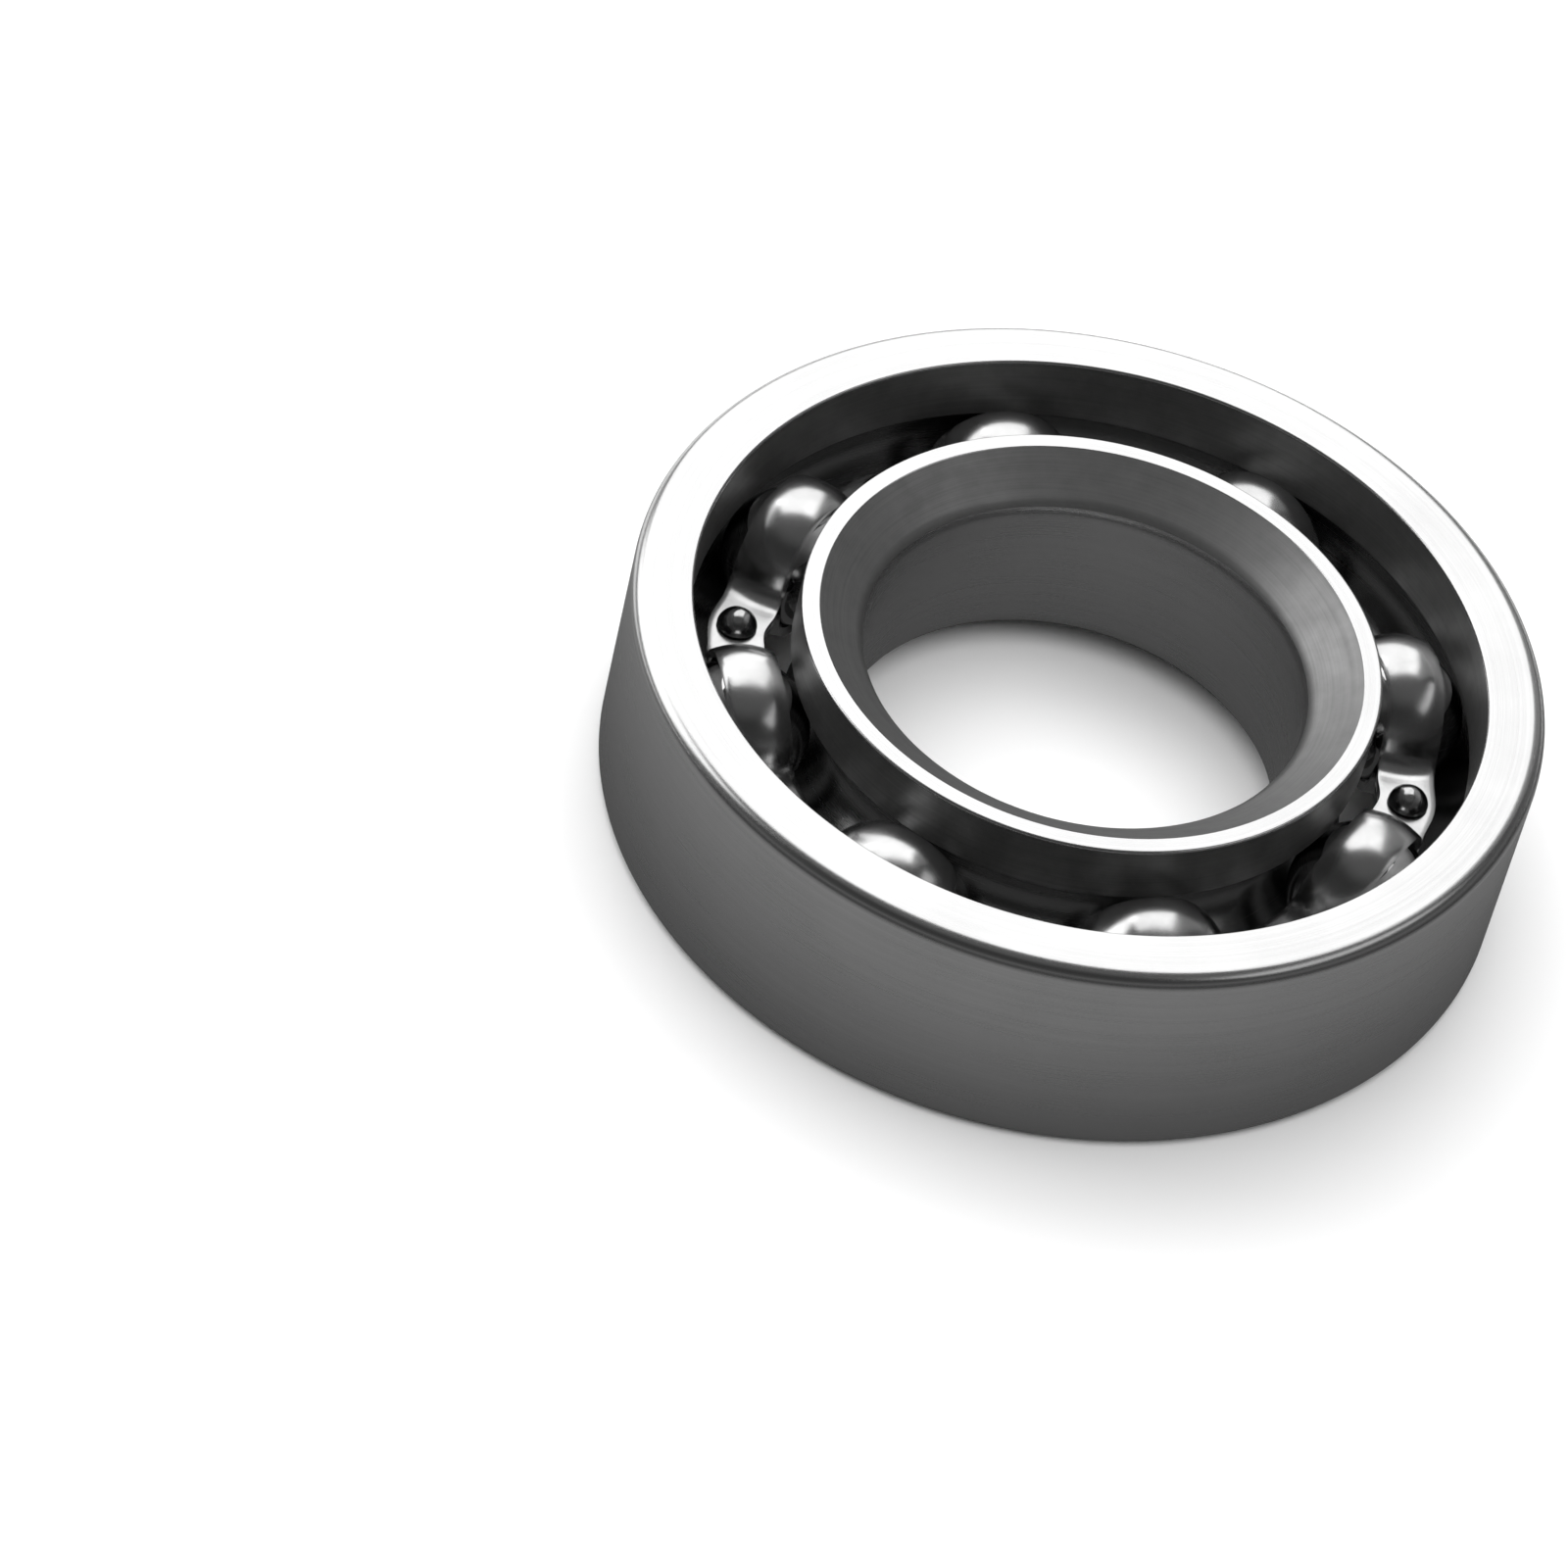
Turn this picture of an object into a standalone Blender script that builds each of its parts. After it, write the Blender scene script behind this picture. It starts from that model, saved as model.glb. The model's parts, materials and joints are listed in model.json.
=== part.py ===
"""Single-row angular contact ball bearing, 30 x 62 x 16 mm, with a riveted ribbon cage.

The origin is the bearing's centre. +Z runs along the axis, out of the open face, where the outer ring's
shoulder is relieved, and +X runs through the centre of ball_1. Lengths are in metres.
"""

import math

import bmesh
import bpy
from mathutils import Matrix, Vector

# Boundary dimensions
BORE_RADIUS = 0.015
OUTSIDE_RADIUS = 0.031
WIDTH = 0.016
CORNER_RADIUS = 0.001
EDGE_BREAK = 0.0002

# Balls and the grooves they run in
BALL_COUNT = 8
BALL_RADIUS = 0.0047625
PITCH_RADIUS = 0.023
CONTACT_ANGLE = math.radians(25)
RUNNING_GAP = 0.00025
GROOVE_RADIUS = BALL_RADIUS + RUNNING_GAP

# Shoulders beside the grooves. The thrust passes through the two high ones.
OUTER_HIGH_SHOULDER = 0.0255
OUTER_LOW_SHOULDER = 0.02674
OUTER_MOUTH_RADIUS = 0.02694
INNER_HIGH_SHOULDER = 0.01972
INNER_LOW_SHOULDER = 0.0194

# Lead-in at each end of the bore: a cone, rounded where it runs into the bore
LEAD_IN_RADIUS = 0.0185
LEAD_IN_ANGLE = math.radians(35.3)
LEAD_IN_ROUNDING = 0.0009

# Ribbon cage, two pressed halves that meet at the middle of the bearing. Its seats bow out at the rivets.
SHEET = 0.0006
CAGE_INNER_RADIUS = 0.0211
CAGE_OUTER_RADIUS = 0.02495
SEAT_BOW = 0.0003
POCKET_GAP = 0.0002
SEAT_GAP = 0.0001
BEND_RADIUS = 0.002
POCKET_RADIUS = BALL_RADIUS + POCKET_GAP + SHEET / 2
SEAT_HEIGHT = (SEAT_GAP + SHEET) / 2

# Rivets, in the middle of the seats
RIVET_CIRCLE_RADIUS = (CAGE_INNER_RADIUS + CAGE_OUTER_RADIUS) / 2 + SEAT_BOW
RIVET_SHANK_RADIUS = 0.0008
RIVET_HOLE_RADIUS = 0.00095
RIVET_HEAD_RADIUS = 0.0014
RIVET_HEAD_HEIGHT = 0.0012
RIVET_SEAT = SEAT_GAP / 2 + SHEET + SEAT_GAP

# Facets
RING_STEPS = 48
ARC_STEPS = 10
CORNER_STEPS = 3
POCKET_STEPS = 4
BEND_STEPS = 2
RIBBON_ROWS = 3
RIVET_STEPS = 12
MERGE = 1e-7

BALL_PITCH = math.tau / BALL_COUNT


def clear_scene():
    for existing in list(bpy.data.objects):
        bpy.data.objects.remove(existing)


def steel(name, colour, roughness):
    """A metallic Principled BSDF material."""
    material = bpy.data.materials.new(name)
    material.use_nodes = True
    shader = material.node_tree.nodes["Principled BSDF"]
    shader.inputs["Base Color"].default_value = (*colour, 1)
    shader.inputs["Metallic"].default_value = 1
    shader.inputs["Roughness"].default_value = roughness
    return material


def add_object(name, shape, material=None):
    """A smooth-shaded object from a bmesh, sharp where its faces meet at 35 degrees or more."""
    mesh = bpy.data.meshes.new(name)
    shape.to_mesh(mesh)
    shape.free()
    mesh.shade_smooth()
    mesh.set_sharp_from_angle(angle=math.radians(35))
    if material:
        mesh.materials.append(material)
    made = bpy.data.objects.new(name, mesh)
    bpy.context.scene.collection.objects.link(made)
    return made


def arc(centre, radius, start, end, steps):
    """Points of a circular arc in the half-plane of radius and height, from one angle to another."""
    points = []
    for step in range(steps + 1):
        angle = start + (end - start) * step / steps
        points.append((centre[0] + radius * math.cos(angle), centre[1] + radius * math.sin(angle)))
    return points


def turned(profile, steps, closed=True):
    """A bmesh turned about Z from a profile of (radius, height) points.

    A profile that isn't closed starts and ends on the axis.
    """
    shape = bmesh.new()
    ring = [shape.verts.new((radius, 0, height)) for radius, height in profile]
    edges = [shape.edges.new(pair) for pair in zip(ring, ring[1:])]
    if closed:
        edges.append(shape.edges.new((ring[-1], ring[0])))
    bmesh.ops.spin(shape, geom=ring + edges, axis=(0, 0, 1), cent=(0, 0, 0), angle=math.tau,
                   steps=steps, use_merge=True)
    bmesh.ops.remove_doubles(shape, verts=shape.verts, dist=MERGE)
    bmesh.ops.recalc_face_normals(shape, faces=shape.faces)
    return shape


def groove(back_shoulder, front_shoulder, centre_side):
    """Ball groove from its back shoulder to its front one.

    centre_side is 0 in the outer ring and pi in the inner ring: the direction of the groove's bottom.
    """
    back = math.acos(abs(back_shoulder - PITCH_RADIUS) / GROOVE_RADIUS)
    front = math.acos(abs(front_shoulder - PITCH_RADIUS) / GROOVE_RADIUS)
    if centre_side:
        back, front = -back, -front
    return arc((PITCH_RADIUS, 0), GROOVE_RADIUS, centre_side - back, centre_side + front, ARC_STEPS)


def make_outer_ring(material):
    face = WIDTH / 2
    corner = OUTSIDE_RADIUS - CORNER_RADIUS
    profile = [(OUTER_MOUTH_RADIUS + EDGE_BREAK, face)]
    profile += arc((corner, face - CORNER_RADIUS), CORNER_RADIUS, math.pi / 2, 0, CORNER_STEPS)
    profile += arc((corner, CORNER_RADIUS - face), CORNER_RADIUS, 0, -math.pi / 2, CORNER_STEPS)
    profile += [(OUTER_HIGH_SHOULDER + EDGE_BREAK, -face), (OUTER_HIGH_SHOULDER, EDGE_BREAK - face)]
    profile += groove(OUTER_HIGH_SHOULDER, OUTER_LOW_SHOULDER, 0)
    profile.append((OUTER_MOUTH_RADIUS, face - EDGE_BREAK))
    return add_object("outer_ring", turned(profile, RING_STEPS), material)


def make_inner_ring(material):
    face = WIDTH / 2
    mouth_height = face - (LEAD_IN_RADIUS - BORE_RADIUS) * math.tan(LEAD_IN_ANGLE)
    turn = math.pi / 2 - LEAD_IN_ANGLE
    rounding_radius = LEAD_IN_ROUNDING / math.tan(turn / 2)
    rounding = (BORE_RADIUS + rounding_radius, mouth_height - LEAD_IN_ROUNDING)
    lead_in = [(LEAD_IN_RADIUS, face)]
    lead_in += arc(rounding, rounding_radius, math.pi - turn, math.pi, CORNER_STEPS)
    profile = [(INNER_HIGH_SHOULDER - EDGE_BREAK, face)] + lead_in
    profile += [(radius, -height) for radius, height in reversed(lead_in)]
    profile += [(INNER_LOW_SHOULDER - EDGE_BREAK, -face), (INNER_LOW_SHOULDER, EDGE_BREAK - face)]
    profile += groove(INNER_LOW_SHOULDER, INNER_HIGH_SHOULDER, math.pi)
    profile.append((INNER_HIGH_SHOULDER, face - EDGE_BREAK))
    return add_object("inner_ring", turned(profile, RING_STEPS), material)


def half_pocket(radius):
    """Middle of the sheet along one row of the ribbon, from a pocket's crown to the seat beside it.

    The points are (distance from the ball's centre in plan, height above the bearing's middle).
    """
    bend_distance = POCKET_RADIUS + BEND_RADIUS
    bend_height = SEAT_HEIGHT + BEND_RADIUS
    lean = math.asin(bend_height / bend_distance)
    crown = math.acos((radius - PITCH_RADIUS) / POCKET_RADIUS)
    crown = min(crown, math.pi - crown)
    dome = arc((0, 0), POCKET_RADIUS, crown, lean, POCKET_STEPS)
    bend = arc((bend_distance * math.cos(lean), bend_height), BEND_RADIUS,
               math.pi + lean, math.pi * 3 / 2, BEND_STEPS)
    return dome + bend[1:]


def cage_half(side):
    """The pressed sheet's middle surface: a grid wrapped into a ribbon with a pocket over each ball.

    side is +1 for the open face and -1 for the back.
    """
    half_steps = POCKET_STEPS + BEND_STEPS + 1
    columns = 2 * half_steps * BALL_COUNT
    shape = bmesh.new()
    bmesh.ops.create_grid(shape, x_segments=columns, y_segments=RIBBON_ROWS, size=1)
    for vert in shape.verts:
        column = round((vert.co.x + 1) / 2 * columns)
        across = (vert.co.y + 1) / 2
        radius = CAGE_INNER_RADIUS + (CAGE_OUTER_RADIUS - CAGE_INNER_RADIUS) * across
        pocket, place = divmod(column, 2 * half_steps)
        step = place - half_steps
        if abs(step) == half_steps:
            swing, height = BALL_PITCH / 2, SEAT_HEIGHT
            radius += SEAT_BOW
        else:
            distance, height = half_pocket(radius)[abs(step)]
            cosine = (radius**2 + PITCH_RADIUS**2 - distance**2) / (2 * radius * PITCH_RADIUS)
            swing = math.acos(min(cosine, 1))
        angle = BALL_PITCH * pocket + math.copysign(swing, step)
        vert.co = (radius * math.cos(angle), radius * math.sin(angle), side * height)
    bmesh.ops.remove_doubles(shape, verts=shape.verts, dist=MERGE)
    bmesh.ops.recalc_face_normals(shape, faces=shape.faces)
    return shape


def make_rivet_hole_cutter():
    """The eight rivet holes as one hidden cutter."""
    shape = bmesh.new()
    centre = Matrix.Translation((RIVET_CIRCLE_RADIUS, 0, 0))
    for index in range(BALL_COUNT):
        place = Matrix.Rotation(BALL_PITCH * (index + 0.5), 4, "Z") @ centre
        bmesh.ops.create_cone(shape, cap_ends=True, segments=RIVET_STEPS, radius1=RIVET_HOLE_RADIUS,
                              radius2=RIVET_HOLE_RADIUS, depth=WIDTH / 4, matrix=place)
    cutter = add_object("rivet_hole_cutter", shape)
    cutter.hide_render = True
    cutter.display_type = "WIRE"
    return cutter


def make_cage_half(name, side, cutter, material):
    half = add_object(name, cage_half(side), material)
    sheet = half.modifiers.new("sheet", "SOLIDIFY")
    sheet.thickness = SHEET
    sheet.offset = 0
    sheet.use_even_offset = True
    holes = half.modifiers.new("rivet_holes", "BOOLEAN")
    holes.operation = "DIFFERENCE"
    holes.object = cutter
    return half


def make_rivet_mesh(material):
    """A rivet about Z: a shank with the same domed head at each end."""
    dome_radius = (RIVET_HEAD_RADIUS**2 + RIVET_HEAD_HEIGHT**2) / (2 * RIVET_HEAD_HEIGHT)
    rim = math.asin((dome_radius - RIVET_HEAD_HEIGHT) / dome_radius)
    base = RIVET_SEAT + RIVET_HEAD_HEIGHT - dome_radius
    head = arc((0, base), dome_radius, math.pi / 2, rim, CORNER_STEPS)
    head[0] = (0, RIVET_SEAT + RIVET_HEAD_HEIGHT)
    half = head + [(RIVET_SHANK_RADIUS, RIVET_SEAT)]
    profile = half + [(radius, -height) for radius, height in reversed(half)]
    return add_object("rivet_1", turned(profile, RIVET_STEPS, closed=False), material)


def make_ball_mesh(material):
    shape = bmesh.new()
    bmesh.ops.create_icosphere(shape, subdivisions=3, radius=BALL_RADIUS)
    return add_object("ball_1", shape, material)


def place_round(first, stem, radius, start, parent, tilt=0):
    """Places a piece and its copies evenly round the axis, numbered from 1 and parented to the cage."""
    for index in range(BALL_COUNT):
        piece = first
        if index:
            piece = bpy.data.objects.new(f"{stem}_{index + 1}", first.data)
            bpy.context.scene.collection.objects.link(piece)
        azimuth = start + BALL_PITCH * index
        piece.location = Vector((radius * math.cos(azimuth), radius * math.sin(azimuth), 0))
        piece.rotation_euler = (0, tilt, azimuth)
        piece.parent = parent


def main():
    clear_scene()
    ring_steel = steel("ring_steel", (0.62, 0.62, 0.62), 0.28)
    ball_steel = steel("ball_steel", (0.8, 0.8, 0.8), 0.06)
    cage_steel = steel("cage_steel", (0.5, 0.5, 0.5), 0.3)
    rivet_steel = steel("rivet_steel", (0.4, 0.4, 0.4), 0.25)

    make_outer_ring(ring_steel)
    make_inner_ring(ring_steel)

    cage_axis = bpy.data.objects.new("cage_axis", None)
    bpy.context.scene.collection.objects.link(cage_axis)
    cutter = make_rivet_hole_cutter()
    for name, side in (("cage_front_half", 1), ("cage_back_half", -1)):
        make_cage_half(name, side, cutter, cage_steel).parent = cage_axis

    # Each ball's own Z is the axis it spins about, square to the line through its two contacts.
    place_round(make_ball_mesh(ball_steel), "ball", PITCH_RADIUS, 0, cage_axis, tilt=CONTACT_ANGLE)
    place_round(make_rivet_mesh(rivet_steel), "rivet", RIVET_CIRCLE_RADIUS, BALL_PITCH / 2, cage_axis)


main()
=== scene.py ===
"""The looks of a single-row angular contact ball bearing with a riveted ribbon cage, on a pale studio floor.

Lengths are in metres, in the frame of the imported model: the origin is the bearing's centre, +Z points out of
its open face, and +X runs through the first ball.
"""

import json
import math

import bmesh
import bpy
from mathutils import Matrix, Vector


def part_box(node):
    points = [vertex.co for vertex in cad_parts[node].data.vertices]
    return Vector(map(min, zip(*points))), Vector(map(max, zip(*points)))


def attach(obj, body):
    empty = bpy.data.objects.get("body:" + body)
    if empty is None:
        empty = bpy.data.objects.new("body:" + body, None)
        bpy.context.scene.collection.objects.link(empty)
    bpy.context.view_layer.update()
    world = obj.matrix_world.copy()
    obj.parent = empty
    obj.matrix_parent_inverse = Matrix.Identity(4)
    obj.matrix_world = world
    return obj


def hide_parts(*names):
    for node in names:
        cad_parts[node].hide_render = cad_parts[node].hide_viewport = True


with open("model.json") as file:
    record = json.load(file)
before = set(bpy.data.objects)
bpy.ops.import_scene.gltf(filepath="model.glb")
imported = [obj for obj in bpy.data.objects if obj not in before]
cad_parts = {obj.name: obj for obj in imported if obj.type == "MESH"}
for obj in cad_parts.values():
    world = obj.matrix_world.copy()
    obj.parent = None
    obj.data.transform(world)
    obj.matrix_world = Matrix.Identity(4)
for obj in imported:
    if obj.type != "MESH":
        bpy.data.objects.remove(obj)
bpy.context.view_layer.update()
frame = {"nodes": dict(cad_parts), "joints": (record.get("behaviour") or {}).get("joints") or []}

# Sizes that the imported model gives
ring_low, ring_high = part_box("outer_ring")
OUTSIDE_RADIUS = ring_high.x
FACE = ring_high.z
joints = {joint["name"]: joint for joint in frame["joints"]}
PITCH_RADIUS = joints["ball_1_spin"]["pos_m"][0]
BALL_COUNT = sum(name.startswith("ball_") for name in frame["nodes"])
BALL_PITCH = math.tau / BALL_COUNT

# Rings
BORE_RADIUS = 0.015
CORNER = 0.001
EDGE = 0.0002
BALL_RADIUS = 0.0047625
GROOVE_RADIUS = BALL_RADIUS + 0.00025
OUTER_HIGH_SHOULDER = 0.0255
OUTER_LOW_SHOULDER = 0.02674
OUTER_MOUTH = 0.02694
INNER_HIGH_SHOULDER = 0.01972
INNER_LOW_SHOULDER = 0.0194
LEAD_IN_RADIUS = 0.0185
LEAD_IN_ANGLE = math.radians(35.3)
LEAD_IN_ROUNDING = 0.0017
GROOVE_EDGE = 0.00008

# Cage and rivets
SHEET = 0.0006
CAGE_INNER = 0.0211
CAGE_OUTER = 0.02495
SEAT_BOW = 0.0003
POCKET_RADIUS = BALL_RADIUS + 0.0002 + SHEET / 2
BEND_RADIUS = 0.002
SEAT_GAP = 0.0001
SEAT_HEIGHT = (SEAT_GAP + SHEET) / 2
SHEET_EDGE = 0.00007
RIVET_CIRCLE = (CAGE_INNER + CAGE_OUTER) / 2 + SEAT_BOW
RIVET_SHANK = 0.0008
RIVET_HOLE = 0.00095
RIVET_HEAD = 0.0014
RIVET_HEAD_HEIGHT = 0.0012
RIVET_SEAT = SEAT_GAP / 2 + SHEET + SEAT_GAP
RIVET_EDGE = 0.00009

# Fineness of the surfaces
RING_STEPS = 256
ROUNDING_STEPS = 8
GROOVE_STEPS = 28
POCKET_STEPS = 12
BEND_STEPS = 9
FLAT_STEPS = 6
RIBBON_ROWS = 10
RIVET_STEPS = 48
BALL_SUBDIVISIONS = 5
SHEET_EDGE_STEPS = 2
RIVET_EDGE_STEPS = 3
SMOOTH_UNDER = math.radians(40)
SHEET_EDGE_OVER = math.radians(50)
SUPPORT = 0.00004
MERGE = 1e-7


def arc(centre, radius, start, end, steps):
    """Points of a circular arc in the half-plane of radius and height, from one angle to another."""
    points = []
    for step in range(steps + 1):
        angle = start + (end - start) * step / steps
        points.append(Vector((centre[0] + radius * math.cos(angle), centre[1] + radius * math.sin(angle))))
    return points


def rounded(corners):
    """A closed outline through (radius, height, rounding) corners, each rounded by its own radius.

    A point just inside each end of a straight stretch keeps its shading flat.
    """
    outline = []
    count = len(corners)
    for index, (radius, height, rounding) in enumerate(corners):
        corner = Vector((radius, height))
        before = (Vector(corners[index - 1][:2]) - corner).normalized()
        after = (Vector(corners[(index + 1) % count][:2]) - corner).normalized()
        if not rounding:
            outline.append(corner)
            continue
        half = before.angle(after) / 2
        reach = rounding / math.tan(half)
        centre = corner + (before + after).normalized() * rounding / math.sin(half)
        first = corner + before * reach - centre
        last = corner + after * reach - centre
        sweep = first.angle_signed(last)
        outline.append(centre + first + before * SUPPORT)
        for step in range(ROUNDING_STEPS + 1):
            outline.append(centre + Matrix.Rotation(-sweep * step / ROUNDING_STEPS, 2) @ first)
        outline.append(centre + last + after * SUPPORT)
    return outline


def groove(back_shoulder, front_shoulder, bottom):
    """Corners of a ball groove from its back shoulder to its front one.

    bottom is the direction of the groove's bottom: 0 in the outer ring and pi in the inner ring.
    """
    back = math.acos(abs(back_shoulder - PITCH_RADIUS) / GROOVE_RADIUS)
    front = math.acos(abs(front_shoulder - PITCH_RADIUS) / GROOVE_RADIUS)
    if bottom:
        back, front = -back, -front
    points = arc((PITCH_RADIUS, 0), GROOVE_RADIUS, bottom - back, bottom + front, GROOVE_STEPS)
    corners = [(*point, 0) for point in points]
    corners[0] = (*points[0], GROOVE_EDGE)
    corners[-1] = (*points[-1], GROOVE_EDGE)
    return corners


def turned(outline, steps, closed=True):
    """A bmesh turned about Z. An outline that isn't closed starts and ends on the axis."""
    shape = bmesh.new()
    ring = [shape.verts.new((radius, 0, height)) for radius, height in outline]
    edges = [shape.edges.new(pair) for pair in zip(ring, ring[1:])]
    if closed:
        edges.append(shape.edges.new((ring[-1], ring[0])))
    bmesh.ops.spin(shape, geom=ring + edges, axis=(0, 0, 1), cent=(0, 0, 0), angle=math.tau,
                   steps=steps, use_merge=True)
    bmesh.ops.remove_doubles(shape, verts=shape.verts, dist=MERGE)
    bmesh.ops.recalc_face_normals(shape, faces=shape.faces)
    return shape


def add_object(name, shape, *materials):
    """An object with the bmesh's shape and the given materials, on the scene."""
    mesh = bpy.data.meshes.new(name)
    shape.to_mesh(mesh)
    shape.free()
    for material in materials:
        mesh.materials.append(material)
    made = bpy.data.objects.new(name, mesh)
    bpy.context.scene.collection.objects.link(made)
    smooth(made)
    return made


def smooth(piece):
    """Shades a piece smooth, except at edges where its faces meet more steeply than SMOOTH_UNDER."""
    piece.data.shade_smooth()
    piece.data.set_sharp_from_angle(angle=SMOOTH_UNDER)


def settle(piece):
    """Applies a piece's modifiers to its mesh."""
    graph = bpy.context.evaluated_depsgraph_get()
    mesh = bpy.data.meshes.new_from_object(piece.evaluated_get(graph))
    piece.modifiers.clear()
    piece.data = mesh
    smooth(piece)


def show(piece, body, node):
    """Lets a piece stand for a node of the frame, on that node's body."""
    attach(piece, body)
    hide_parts(node)


def mark_turned_and_shaded(shape, lowest, highest):
    """Gives the second material, whose darker colour is partly painted shade, to the walls that are turned and
    not ground.

    They lie between two radii, inside the end faces and outside the ball groove.
    """
    for face in shape.faces:
        centre = face.calc_center_median()
        radius = centre.xy.length
        inside = abs(centre.z) < FACE - EDGE
        in_groove = math.hypot(radius - PITCH_RADIUS, centre.z) < GROOVE_RADIUS + MERGE
        face.material_index = int(inside and lowest < radius < highest and not in_groove)


def make_outer_ring(ground, unground_and_shaded):
    corners = [(OUTER_MOUTH, FACE, EDGE), (OUTSIDE_RADIUS, FACE, CORNER), (OUTSIDE_RADIUS, -FACE, CORNER),
               (OUTER_HIGH_SHOULDER, -FACE, EDGE)]
    corners += groove(OUTER_HIGH_SHOULDER, OUTER_LOW_SHOULDER, 0)
    shape = turned(rounded(corners), RING_STEPS)
    mark_turned_and_shaded(shape, PITCH_RADIUS, OUTSIDE_RADIUS - CORNER)
    ring = add_object("outer_ring_ground", shape, ground, unground_and_shaded)
    show(ring, "outer_ring", "outer_ring")


def make_inner_ring(ground, unground_and_shaded):
    mouth = FACE - (LEAD_IN_RADIUS - BORE_RADIUS) * math.tan(LEAD_IN_ANGLE)
    corners = [(INNER_HIGH_SHOULDER, FACE, EDGE), (LEAD_IN_RADIUS, FACE, EDGE / 2),
               (BORE_RADIUS, mouth, LEAD_IN_ROUNDING), (BORE_RADIUS, -mouth, LEAD_IN_ROUNDING),
               (LEAD_IN_RADIUS, -FACE, EDGE / 2), (INNER_LOW_SHOULDER, -FACE, EDGE)]
    corners += groove(INNER_LOW_SHOULDER, INNER_HIGH_SHOULDER, math.pi)
    shape = turned(rounded(corners), RING_STEPS)
    mark_turned_and_shaded(shape, BORE_RADIUS + EDGE, PITCH_RADIUS)
    ring = add_object("inner_ring_ground", shape, ground, unground_and_shaded)
    show(ring, "inner_ring", "inner_ring")


def half_pocket(radius):
    """Middle of the sheet along one row of the ribbon, from a pocket's crown to the seat beside it.

    The points are (distance from the ball's centre in plan, height above the bearing's middle).
    """
    bend_distance = POCKET_RADIUS + BEND_RADIUS
    bend_height = SEAT_HEIGHT + BEND_RADIUS
    lean = math.asin(bend_height / bend_distance)
    crown = math.acos(abs(radius - PITCH_RADIUS) / POCKET_RADIUS)
    dome = arc((0, 0), POCKET_RADIUS, crown, lean, POCKET_STEPS)
    bend = arc((bend_distance * math.cos(lean), bend_height), BEND_RADIUS,
               math.pi + lean, math.pi * 3 / 2, BEND_STEPS)
    return dome + bend[1:]


def ribbon(side):
    """The middle surface of a cage half: a grid wrapped into a ribbon with a pocket over each ball.

    side is +1 for the half at the open face and -1 for the back one.
    """
    half_steps = POCKET_STEPS + BEND_STEPS + FLAT_STEPS
    columns = 2 * half_steps * BALL_COUNT
    shape = bmesh.new()
    bmesh.ops.create_grid(shape, x_segments=columns, y_segments=RIBBON_ROWS, size=1)
    for vert in shape.verts:
        across = (vert.co.y + 1) / 2
        radius = CAGE_INNER + (CAGE_OUTER - CAGE_INNER) * across
        pocket, place = divmod(round((vert.co.x + 1) / 2 * columns), 2 * half_steps)
        step = place - half_steps
        dented = half_pocket(radius)
        distance, height = dented[min(abs(step), len(dented) - 1)]
        cosine = (radius**2 + PITCH_RADIUS**2 - distance**2) / (2 * radius * PITCH_RADIUS)
        swing = math.acos(min(cosine, 1))
        along_seat = max(0, abs(step) - len(dented) + 1) / FLAT_STEPS
        swing += (BALL_PITCH / 2 - swing) * along_seat
        radius += SEAT_BOW * (1 - math.cos(math.pi * along_seat)) / 2
        angle = BALL_PITCH * pocket + math.copysign(swing, step)
        vert.co = (radius * math.cos(angle), radius * math.sin(angle), side * height)
    bmesh.ops.remove_doubles(shape, verts=shape.verts, dist=MERGE)
    bmesh.ops.recalc_face_normals(shape, faces=shape.faces)
    return shape


def round_places(radius, start):
    """The places of pieces spaced evenly round the axis, each with its number, from 1."""
    for index in range(BALL_COUNT):
        turn = Matrix.Rotation(start + BALL_PITCH * index, 4, "Z")
        yield index + 1, turn @ Matrix.Translation((radius, 0, 0))


def make_cage(material):
    """Two pressed halves, punched for the rivets, with the sheet's edges tumbled round."""
    punches = bmesh.new()
    for _, place in round_places(RIVET_CIRCLE, BALL_PITCH / 2):
        bmesh.ops.create_cone(punches, cap_ends=True, segments=RIVET_STEPS, radius1=RIVET_HOLE,
                              radius2=RIVET_HOLE, depth=FACE, matrix=place)
    punch = add_object("punch", punches, material)
    for name, side in (("front", 1), ("back", -1)):
        half = add_object(f"cage_{name}_pressing", ribbon(side), material)
        sheet = half.modifiers.new("sheet", "SOLIDIFY")
        sheet.thickness = SHEET
        sheet.offset = 0
        sheet.use_even_offset = True
        holes = half.modifiers.new("holes", "BOOLEAN")
        holes.object = punch
        edges = half.modifiers.new("edges", "BEVEL")
        edges.width = SHEET_EDGE
        edges.segments = SHEET_EDGE_STEPS
        edges.limit_method = "ANGLE"
        edges.angle_limit = SHEET_EDGE_OVER
        settle(half)
        show(half, "cage", f"cage_{name}_half")
    bpy.data.objects.remove(punch)


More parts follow.
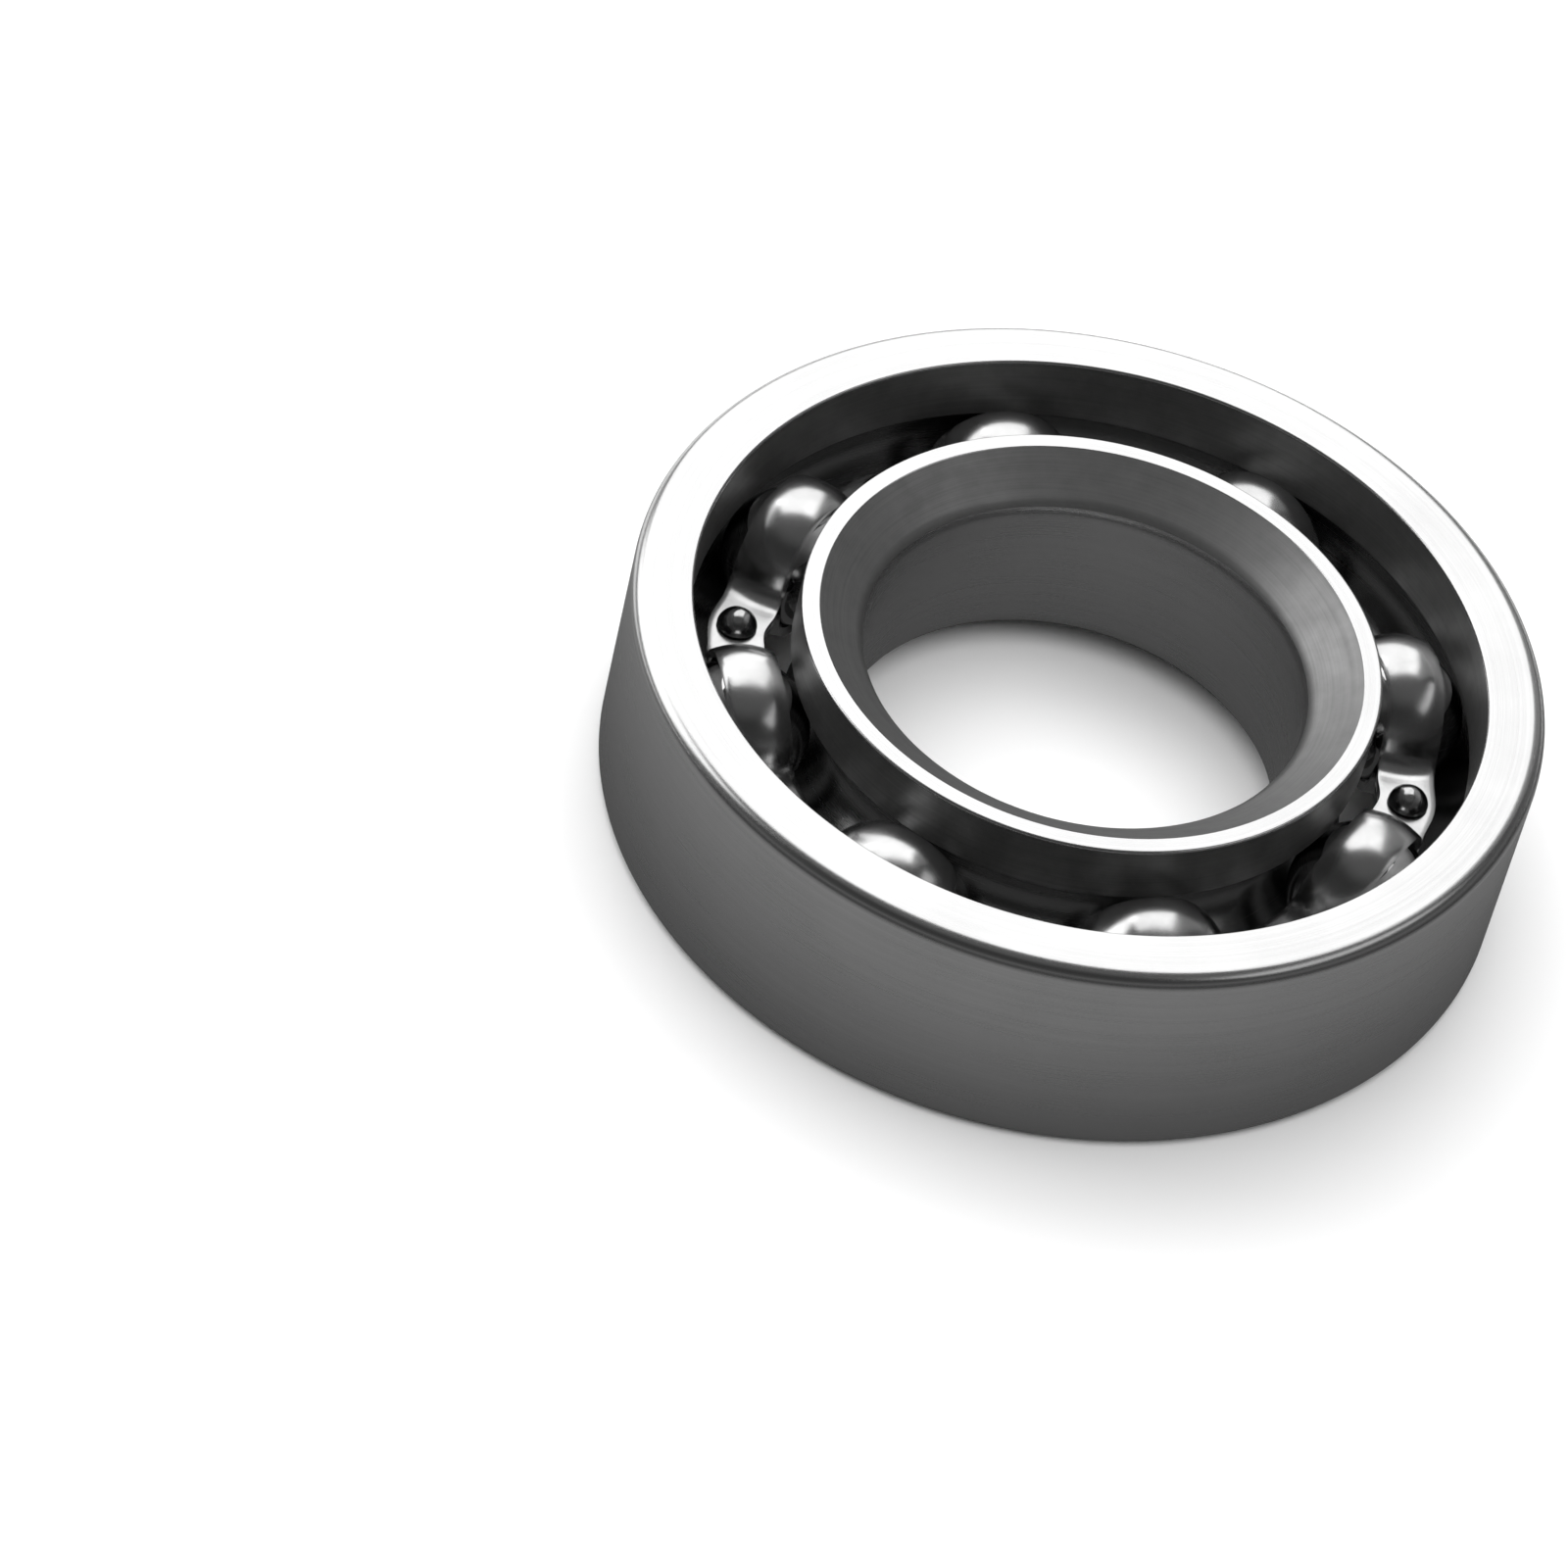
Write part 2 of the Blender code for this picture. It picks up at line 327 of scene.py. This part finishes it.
def make_rivets(material):
    """Rivets with a domed head at each end, each with a small rounding where it meets the sheet."""
    dome_radius = (RIVET_HEAD**2 + RIVET_HEAD_HEIGHT**2) / (2 * RIVET_HEAD_HEIGHT)
    base = RIVET_SEAT + RIVET_HEAD_HEIGHT - dome_radius
    rim = math.asin((RIVET_SEAT + RIVET_EDGE - base) / dome_radius)
    head = arc((0, base), dome_radius, math.pi / 2, rim, ROUNDING_STEPS)
    head[0] = Vector((0, RIVET_SEAT + RIVET_HEAD_HEIGHT))
    corner = (head[-1].x - RIVET_EDGE, RIVET_SEAT + RIVET_EDGE)
    rounding = arc(corner, RIVET_EDGE, 0, -math.pi / 2, RIVET_EDGE_STEPS)
    half = head + rounding[1:] + [Vector((RIVET_SHANK, RIVET_SEAT))]
    outline = half + [Vector((point.x, -point.y)) for point in reversed(half)]
    for number, place in round_places(RIVET_CIRCLE, BALL_PITCH / 2):
        shape = turned(outline, RIVET_STEPS, closed=False)
        bmesh.ops.transform(shape, matrix=place, verts=shape.verts)
        rivet = add_object(f"rivet_{number}_domed", shape, material)
        show(rivet, "cage", f"rivet_{number}")


def make_balls(material):
    for number, place in round_places(PITCH_RADIUS, 0):
        shape = bmesh.new()
        bmesh.ops.create_icosphere(shape, subdivisions=BALL_SUBDIVISIONS, radius=BALL_RADIUS, matrix=place)
        ball = add_object(f"ball_{number}_lapped", shape, material)
        show(ball, f"ball_{number}", f"ball_{number}")


class Nodes:
    """Short calls for building one material's nodes."""

    def __init__(self, name):
        self.material = bpy.data.materials.new(name)
        self.material.use_nodes = True
        self.tree = self.material.node_tree
        self.shader = self.tree.nodes["Principled BSDF"]

    def add(self, kind, settings=None, **inputs):
        node = self.tree.nodes.new(kind)
        for key, value in (settings or {}).items():
            setattr(node, key, value)
        for key, value in inputs.items():
            self.set(node, key.replace("_", " "), value)
        return node

    def set(self, node, socket, value):
        if isinstance(value, bpy.types.NodeSocket):
            self.tree.links.new(value, node.inputs[socket])
        else:
            node.inputs[socket].default_value = value

    def math(self, operation, first, second=0.0):
        node = self.add("ShaderNodeMath", {"operation": operation})
        self.set(node, 0, first)
        self.set(node, 1, second)
        return node.outputs[0]

    def spread(self, value, low, high):
        """Maps a noise value, which stays near the middle of 0 to 1, to a range."""
        node = self.add("ShaderNodeMapRange", From_Min=0.3, From_Max=0.7, To_Min=low, To_Max=high)
        self.set(node, "Value", value)
        return node.outputs[0]

    def grey(self, value):
        node = self.add("ShaderNodeCombineColor", Red=value, Green=value, Blue=value)
        return node.outputs[0]


def place_on_piece(nodes):
    return nodes.add("ShaderNodeTexCoord").outputs["Object"]


def axis_distance(nodes, place):
    """The distance of a place from the bearing's axis."""
    flat = nodes.add("ShaderNodeVectorMath", {"operation": "MULTIPLY"})
    nodes.set(flat, 0, place)
    nodes.set(flat, 1, (1, 1, 0))
    length = nodes.add("ShaderNodeVectorMath", {"operation": "LENGTH"})
    nodes.set(length, 0, flat.outputs[0])
    return length.outputs["Value"]


def turning_lines(nodes, place, radius, fineness, run):
    """Noise drawn out round the axis.

    There are fineness lines in a metre across them, and each keeps its shade for about 1 / run of a metre.
    """
    stretched = nodes.add("ShaderNodeVectorMath", {"operation": "MULTIPLY"})
    nodes.set(stretched, 0, place)
    nodes.set(stretched, 1, (run, run, fineness))
    noise = nodes.add("ShaderNodeTexNoise", {"noise_dimensions": "4D"}, Scale=1, Detail=3, Roughness=0.6)
    nodes.set(noise, "Vector", stretched.outputs[0])
    nodes.set(noise, "W", nodes.math("MULTIPLY", radius, fineness))
    return noise.outputs["Fac"]


def blotches(nodes, place, scale):
    """Cloudy noise, with scale clouds in a metre."""
    noise = nodes.add("ShaderNodeTexNoise", Scale=scale, Detail=4, Roughness=0.55)
    nodes.set(noise, "Vector", place)
    return noise.outputs["Fac"]


def bump(nodes, height, depth):
    """Lets a noise raise the surface by up to a depth."""
    made = nodes.add("ShaderNodeBump", Distance=depth, Height=height)
    nodes.set(nodes.shader, "Normal", made.outputs["Normal"])


def ground_steel():
    """Bearing steel, ground round the axis, with a faint cloudiness in the grind."""
    nodes = Nodes("ground_bearing_steel")
    place = place_on_piece(nodes)
    radius = axis_distance(nodes, place)
    fine = turning_lines(nodes, place, radius, fineness=14000, run=25)
    broad = turning_lines(nodes, place, radius, fineness=2500, run=15)
    cloud = blotches(nodes, place, scale=160)
    lines = nodes.math("ADD", nodes.math("MULTIPLY", fine, 0.6), nodes.math("MULTIPLY", broad, 0.4))
    shade = nodes.math("ADD", nodes.math("MULTIPLY", lines, 0.7), nodes.math("MULTIPLY", cloud, 0.3))
    nodes.set(nodes.shader, "Base Color", nodes.grey(nodes.spread(shade, 0.58, 0.7)))
    nodes.set(nodes.shader, "Roughness", nodes.spread(shade, 0.3, 0.22))
    nodes.set(nodes.shader, "Metallic", 1.0)
    bump(nodes, lines, depth=0.0000015)
    return nodes.material


def turned_steel_with_painted_shade():
    """The shoulders and lead-in cones: turned, hardened and not ground, under a film of oil. They are darker
    partly because of that finish and partly as painted shade on these walls, which lie in the gap between the
    rings and in the bore's mouth.
    """
    nodes = Nodes("turned_oiled_steel_and_painted_shade")
    place = place_on_piece(nodes)
    radius = axis_distance(nodes, place)
    fine = turning_lines(nodes, place, radius, fineness=9000, run=90)
    cloud = blotches(nodes, place, scale=500)
    shade = nodes.math("ADD", nodes.math("MULTIPLY", fine, 0.5), nodes.math("MULTIPLY", cloud, 0.5))
    # The low base colour is partly painted shade for the gap between the rings and the bore's mouth.
    nodes.set(nodes.shader, "Base Color", nodes.grey(nodes.spread(shade, 0.22, 0.31)))
    nodes.set(nodes.shader, "Roughness", nodes.spread(shade, 0.5, 0.4))
    nodes.set(nodes.shader, "Metallic", 0.9)
    bump(nodes, fine, depth=0.000002)
    return nodes.material


def polished_steel():
    """Lapped ball steel, nearly a mirror."""
    nodes = Nodes("lapped_ball_steel")
    place = place_on_piece(nodes)
    cloud = blotches(nodes, place, scale=900)
    nodes.set(nodes.shader, "Base Color", (0.58, 0.58, 0.58, 1))
    nodes.set(nodes.shader, "Roughness", nodes.spread(cloud, 0.05, 0.09))
    nodes.set(nodes.shader, "Metallic", 1.0)
    return nodes.material


def pressed_steel():
    """Rolled strip, drawn into pockets: bright, with a fine orange-peel and a little wear."""
    nodes = Nodes("pressed_strip_steel")
    place = place_on_piece(nodes)
    peel = blotches(nodes, place, scale=2600)
    cloud = blotches(nodes, place, scale=350)
    nodes.set(nodes.shader, "Base Color", nodes.grey(nodes.spread(cloud, 0.54, 0.64)))
    nodes.set(nodes.shader, "Roughness", nodes.spread(cloud, 0.27, 0.19))
    nodes.set(nodes.shader, "Metallic", 1.0)
    bump(nodes, peel, depth=0.000002)
    return nodes.material


def rivet_steel():
    """Upset rivet steel, a shade darker than the strip, with faint die marks."""
    nodes = Nodes("upset_rivet_steel")
    place = place_on_piece(nodes)
    marks = blotches(nodes, place, scale=3000)
    nodes.set(nodes.shader, "Base Color", nodes.grey(nodes.spread(marks, 0.44, 0.54)))
    nodes.set(nodes.shader, "Roughness", nodes.spread(marks, 0.22, 0.14))
    nodes.set(nodes.shader, "Metallic", 1.0)
    bump(nodes, marks, depth=0.000003)
    return nodes.material


def matt(name, shade, glow=0.0):
    """A matt grey: one shade, or a list of (distance from the axis, shade) that it fades between.

    glow is the light that it gives off by itself.
    """
    nodes = Nodes(name)
    if isinstance(shade, tuple):
        radius = axis_distance(nodes, place_on_piece(nodes))
        reach = shade[-1][0]
        fade = nodes.add("ShaderNodeValToRGB")
        nodes.set(fade, 0, nodes.math("DIVIDE", radius, reach))
        set_ramp(fade.color_ramp, [(distance / reach, grey) for distance, grey in shade])
        nodes.set(nodes.shader, "Base Color", fade.outputs[0])
    else:
        nodes.set(nodes.shader, "Base Color", (shade, shade, shade, 1))
    nodes.set(nodes.shader, "Roughness", 0.9)
    nodes.set(nodes.shader, "Specular IOR Level", 0.0)
    nodes.set(nodes.shader, "Emission Color", (1, 1, 1, 1))
    nodes.set(nodes.shader, "Emission Strength", glow)
    return nodes.material


def set_ramp(ramp, stops):
    """Makes a colour ramp run through (position, grey) stops."""
    ramp.elements.remove(ramp.elements[1])
    ramp.elements[0].position = stops[0][0]
    for position, _ in stops[1:]:
        ramp.elements.new(position)
    for element, (_, grey) in zip(ramp.elements, stops):
        element.color = (grey, grey, grey, 1)


FLOOR_CORNER = Vector((3, 3))
FLOOR_SHADE = 0.9
# How far the floor and the table lie below the bearing's lower face
FLOOR_DROP = 0.00002
TABLE_DROP = 0.00007
# The grey table's shade at distances from the bearing's axis: painted shade, with a painted contact shadow at
# the bearing's foot, a painted lighter band beyond it and darker greys further out
TABLE_PAINTED_SHADE = ((0.0, 0.19), (0.025, 0.17), (0.031, 0.17), (0.045, 0.38), (0.055, 0.3), (0.09, 0.07), (0.15, 0.02))
# The table's glow is painted light: it lifts the darkest reflections in the steel.
TABLE_PAINTED_GLOW = 0.03
# The white card lies on the table behind the bearing
CARD_LOW = Vector((-0.4, 0.045))
CARD_HIGH = Vector((0.4, 0.6))
CARD_SHADE = 0.6


def lay_sheet(name, low, high, height, material):
    """A flat sheet of the stage between two opposite corners, which casts no shadow."""
    span, middle = high - low, (low + high) / 2
    shape = bmesh.new()
    bmesh.ops.create_grid(shape, x_segments=1, y_segments=1, size=0.5)
    bmesh.ops.scale(shape, vec=(span.x, span.y, 1), verts=shape.verts)
    bmesh.ops.translate(shape, vec=(middle.x, middle.y, height), verts=shape.verts)
    sheet = add_object(name, shape, material)
    sheet.visible_shadow = False
    return sheet


def make_floor():
    """The white floor that is seen, and a table and a card that only the steel reflects.

    The card brightens the ring's far edge and the cage's far slopes. The table's greys, which change with the
    distance from the axis, are painted shade and painted light, and its glow is painted light.
    """
    white, grey = matt("white_floor", FLOOR_SHADE), matt("table_painted_shade_and_glow", TABLE_PAINTED_SHADE, TABLE_PAINTED_GLOW)
    floor = lay_sheet("floor", -FLOOR_CORNER, FLOOR_CORNER, -FACE - FLOOR_DROP, white)
    floor.visible_glossy = False
    table = lay_sheet("table", -FLOOR_CORNER, FLOOR_CORNER, -FACE - TABLE_DROP, grey)
    card = lay_sheet("card", CARD_LOW, CARD_HIGH, -FACE, matt("white_card", CARD_SHADE))
    for reflected in (table, card):
        reflected.visible_camera = False
        reflected.visible_diffuse = False


def aim(direction):
    """The turn that points a light or the camera along a direction, its top edge up."""
    return Vector(direction).to_track_quat("-Z", "Y").to_matrix().to_4x4()


CAMERA_PLACE = Vector((-0.13814, -0.31405, 0.32463))
CAMERA_TARGET = Vector((-0.02093, -0.00527, 0))
CAMERA_ROLL = math.radians(13.69)
CAMERA_LENS = 160.93
CAMERA_NEAREST = 0.01
SENSOR = 36


def make_camera():
    data = bpy.data.cameras.new("camera")
    data.lens = CAMERA_LENS
    data.sensor_width = SENSOR
    data.clip_start = CAMERA_NEAREST
    made = bpy.data.objects.new("camera", data)
    bpy.context.scene.collection.objects.link(made)
    turn = aim(CAMERA_TARGET - CAMERA_PLACE) @ Matrix.Rotation(CAMERA_ROLL, 4, "Z")
    made.matrix_world = Matrix.Translation(CAMERA_PLACE) @ turn
    bpy.context.scene.camera = made


# Each light's name, azimuth, elevation, distance, width, height and radiance
LIGHTS = (("key_softbox", 80, 41, 0.5, 0.42, 0.62, 1.6),
          ("key_spill", 38, 41, 0.5, 0.2, 0.5, 0.2),
          ("side_strip", -25, 48, 0.6, 0.48, 0.17, 0.7),
          ("back_strip", 135, 32, 0.6, 0.5, 0.42, 1.8))
CEILING = ("ceiling", 90, 90, 1.5, 3, 3, 1.8)


def softbox(name, azimuth, elevation, distance, width, height, radiance):
    """A rectangular light facing the bearing. Azimuth 0 is +X and 90 is +Y, in degrees.

    An area light of power P and area A has the radiance P / (pi A).
    """
    azimuth, elevation = math.radians(azimuth), math.radians(elevation)
    place = distance * Vector((math.cos(elevation) * math.cos(azimuth),
                               math.cos(elevation) * math.sin(azimuth), math.sin(elevation)))
    data = bpy.data.lights.new(name, "AREA")
    data.shape = "RECTANGLE"
    data.size = width
    data.size_y = height
    data.energy = radiance * math.pi * width * height
    made = bpy.data.objects.new(name, data)
    bpy.context.scene.collection.objects.link(made)
    made.matrix_world = Matrix.Translation(place) @ aim(-place)
    made.visible_camera = False
    return made


def make_lights():
    """Softboxes that the steel mirrors, and a ceiling light that it doesn't, which keeps the floor white."""
    for light in LIGHTS:
        softbox(*light)
    softbox(*CEILING).visible_glossy = False


# The brightness of the surroundings at heights from the horizon, 0, to straight overhead, 1
SKY = ((0.0, 0.08), (0.1, 0.1), (0.25, 0.15), (0.45, 0.05), (0.8, 0.035), (0.93, 0.11))


def make_sky():
    world = bpy.data.worlds.new("studio")
    world.use_nodes = True
    bpy.context.scene.world = world
    tree = world.node_tree
    background = tree.nodes["Background"]
    place = tree.nodes.new("ShaderNodeTexCoord")
    split = tree.nodes.new("ShaderNodeSeparateXYZ")
    tree.links.new(place.outputs["Generated"], split.inputs[0])
    fade = tree.nodes.new("ShaderNodeValToRGB")
    set_ramp(fade.color_ramp, SKY)
    tree.links.new(split.outputs["Z"], fade.inputs[0])
    tree.links.new(fade.outputs[0], background.inputs["Color"])


def main():
    ground, unground_and_shaded = ground_steel(), turned_steel_with_painted_shade()
    make_outer_ring(ground, unground_and_shaded)
    make_inner_ring(ground, unground_and_shaded)
    make_cage(pressed_steel())
    make_rivets(rivet_steel())
    make_balls(polished_steel())
    make_floor()
    make_camera()
    make_lights()
    make_sky()
    bpy.context.scene.view_settings.view_transform = "Standard"


main()
